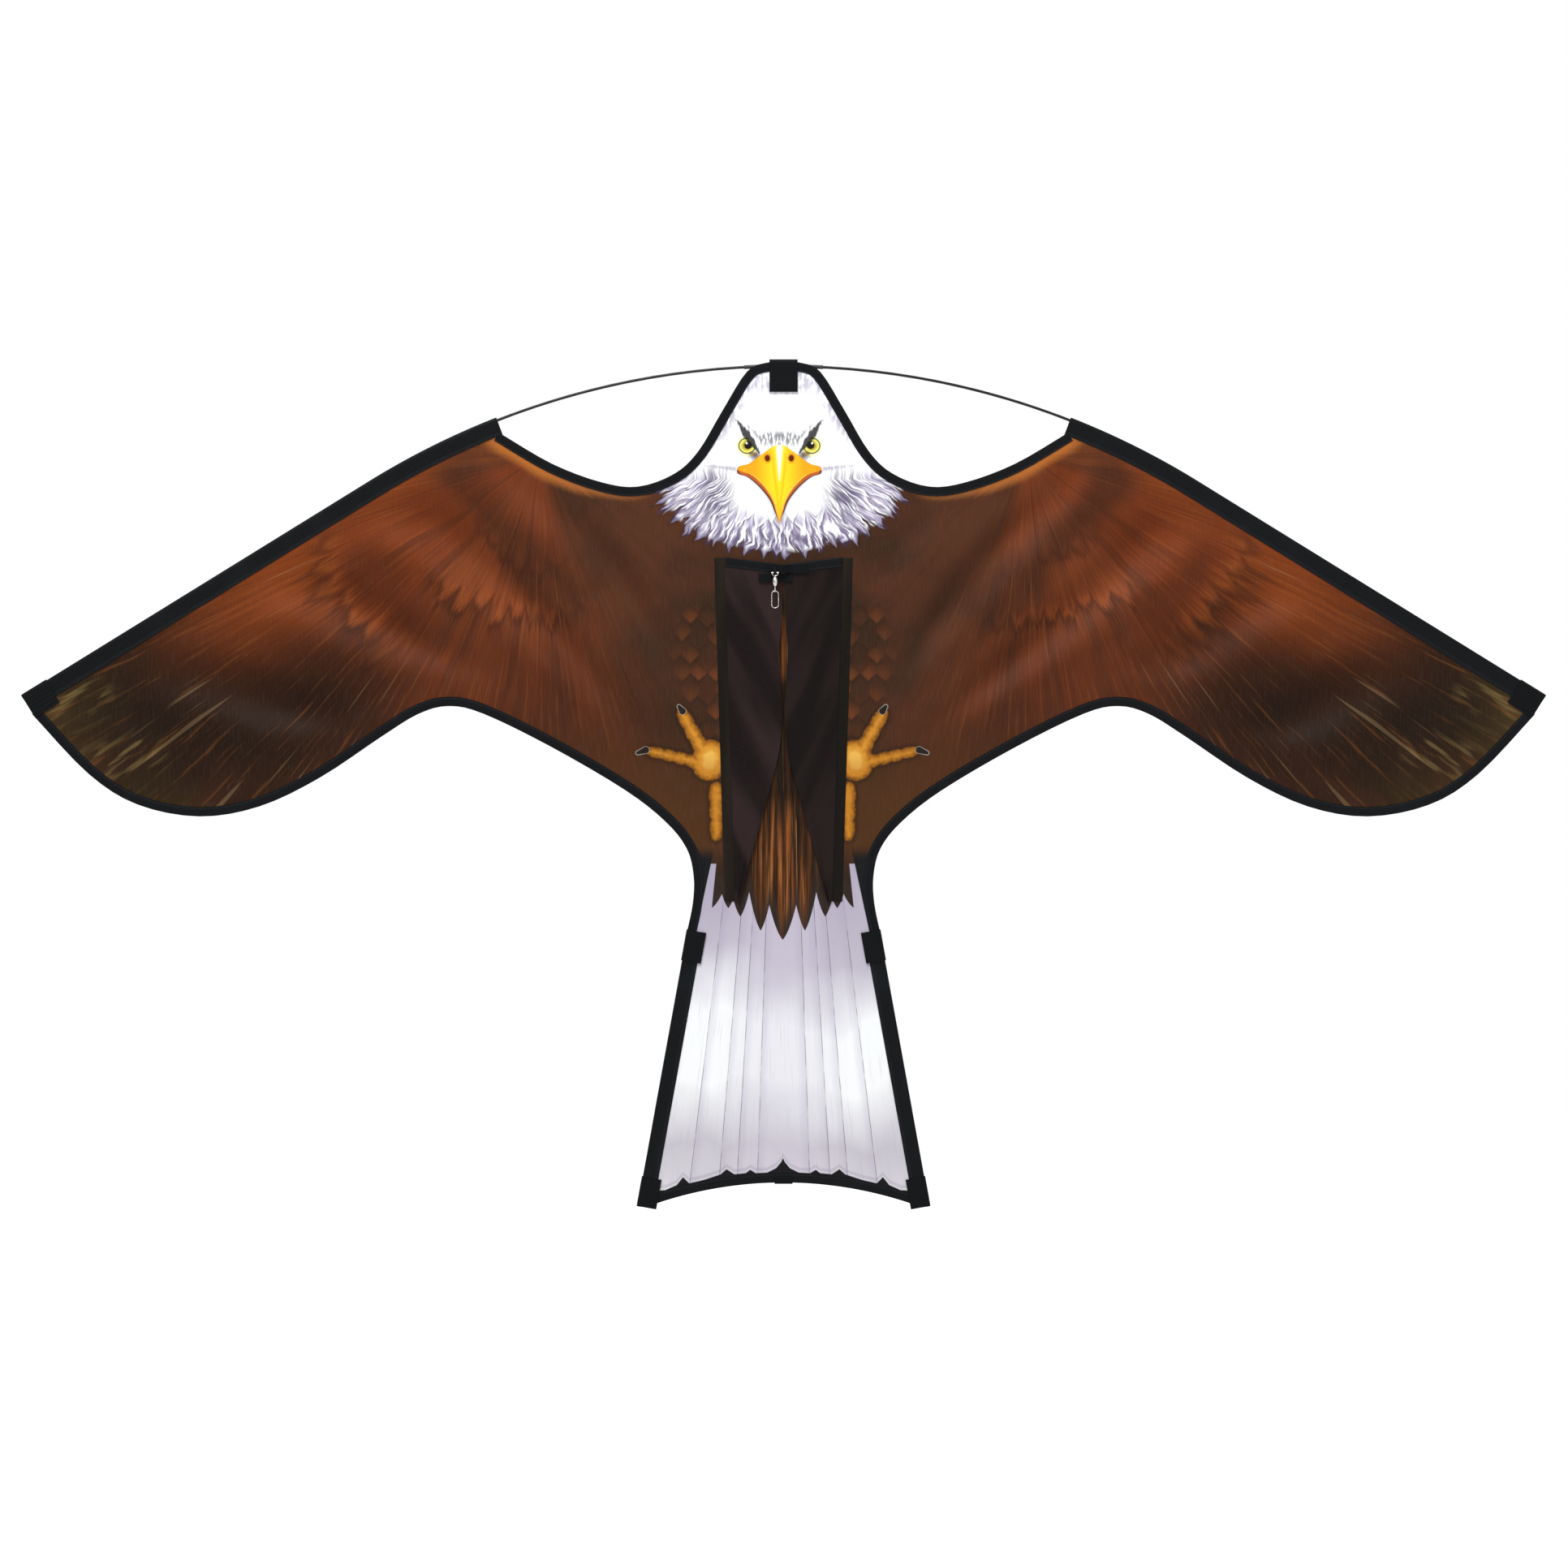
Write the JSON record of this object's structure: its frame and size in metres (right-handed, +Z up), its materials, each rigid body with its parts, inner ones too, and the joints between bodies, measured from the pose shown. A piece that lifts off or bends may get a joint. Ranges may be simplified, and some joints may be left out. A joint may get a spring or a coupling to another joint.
{
  "type": "bird scarer kite",
  "caption": "Eagle-shaped bird scarer kite: printed cloth sail on a bowed spar with spine and tail rods, hanging keel flaps and a swivel snap for the flying line.",
  "frame": {"origin": "inside of the lower bend of the tow snap, where the flying line bears", "axes": "+X along the wings to the right as seen from the printed face, +Z up to the head, -Y out of the printed face"},
  "size_m": [1.3508, 0.0173, 0.7532],
  "materials": {
    "sail_cloth": "printed satin polyester",
    "edge_tape": "woven black tape",
    "webbing": "ribbed black webbing",
    "glass_fibre": "smooth black rod",
    "end_cap": "moulded vinyl",
    "ferrule_tube": "drawn tube",
    "keel_cloth": "plain black-brown polyester",
    "nickel": "bright nickel plate"
  },
  "bodies": {
    "kite": {"sail": "sail_cloth", "head_binding": "edge_tape", "left_wing_binding": "edge_tape", "right_wing_binding": "edge_tape", "tail_binding": "edge_tape", "left_wing_sleeve": "edge_tape", "right_wing_sleeve": "edge_tape", "left_tail_sleeve": "edge_tape", "right_tail_sleeve": "edge_tape", "left_keel_hem": "edge_tape", "right_keel_hem": "edge_tape", "left_wing_tip_patch": "webbing", "right_wing_tip_patch": "webbing", "left_tail_tab": "webbing", "right_tail_tab": "webbing", "left_tail_corner_patch": "webbing", "right_tail_corner_patch": "webbing", "head_tab": "webbing", "spine_head_pocket": "webbing", "spine_tail_pocket": "webbing", "left_spar": "glass_fibre", "right_spar": "glass_fibre", "spine": "glass_fibre", "left_tail_rod": "glass_fibre", "right_tail_rod": "glass_fibre", "spar_end_caps": "end_cap", "tail_rod_end_caps": "end_cap", "spine_end_caps": "end_cap", "spar_ferrule": "ferrule_tube"},
    "left_keel": {"left_keel_flap": "keel_cloth", "left_keel_binding": "edge_tape", "left_tow_tab": "webbing"},
    "right_keel": {"right_keel_flap": "keel_cloth", "right_keel_binding": "edge_tape", "right_tow_tab": "webbing", "tow_loop": "webbing"},
    "swivel": {"swivel_upper_eye": "nickel", "swivel_barrel": "nickel"},
    "snap": {"swivel_lower_eye": "nickel", "snap_clip": "nickel"},
    "gate": {"snap_gate": "nickel"}
  },
  "joints": [
    {"name": "right_keel_swing", "type": "hinge", "parent": "kite", "child": "right_keel", "pos_m": [0.0599, 0.00785, 0.04407], "axis": [0.0309, 0, 0.9995], "range_deg": [0, 22.5]},
    {"name": "left_keel_swing", "type": "hinge", "parent": "kite", "child": "left_keel", "pos_m": [-0.0449, 0.00785, 0.04407], "axis": [0.0309, 0, -0.9995], "range_deg": [0, 22.5]},
    {"name": "tow_swing", "type": "hinge", "parent": "right_keel", "child": "swivel", "pos_m": [0, 0, 0.03057], "axis": [-1, 0, 0], "range_deg": [0, 110]},
    {"name": "swivel_spin", "type": "hinge", "parent": "swivel", "child": "snap", "pos_m": [0, 0, 0.018], "axis": [0, 0, 1], "continuous": true},
    {"name": "gate_open", "type": "hinge", "parent": "snap", "child": "gate", "pos_m": [0.003, 0, 0.01105], "axis": [0, 1, 0], "range_deg": [0, 35], "stiffness_Nm_per_rad": 0.002}
  ],
  "couplings": [
    {"joint": "left_keel_swing", "follows": "right_keel_swing", "ratio": 1}
  ]
}
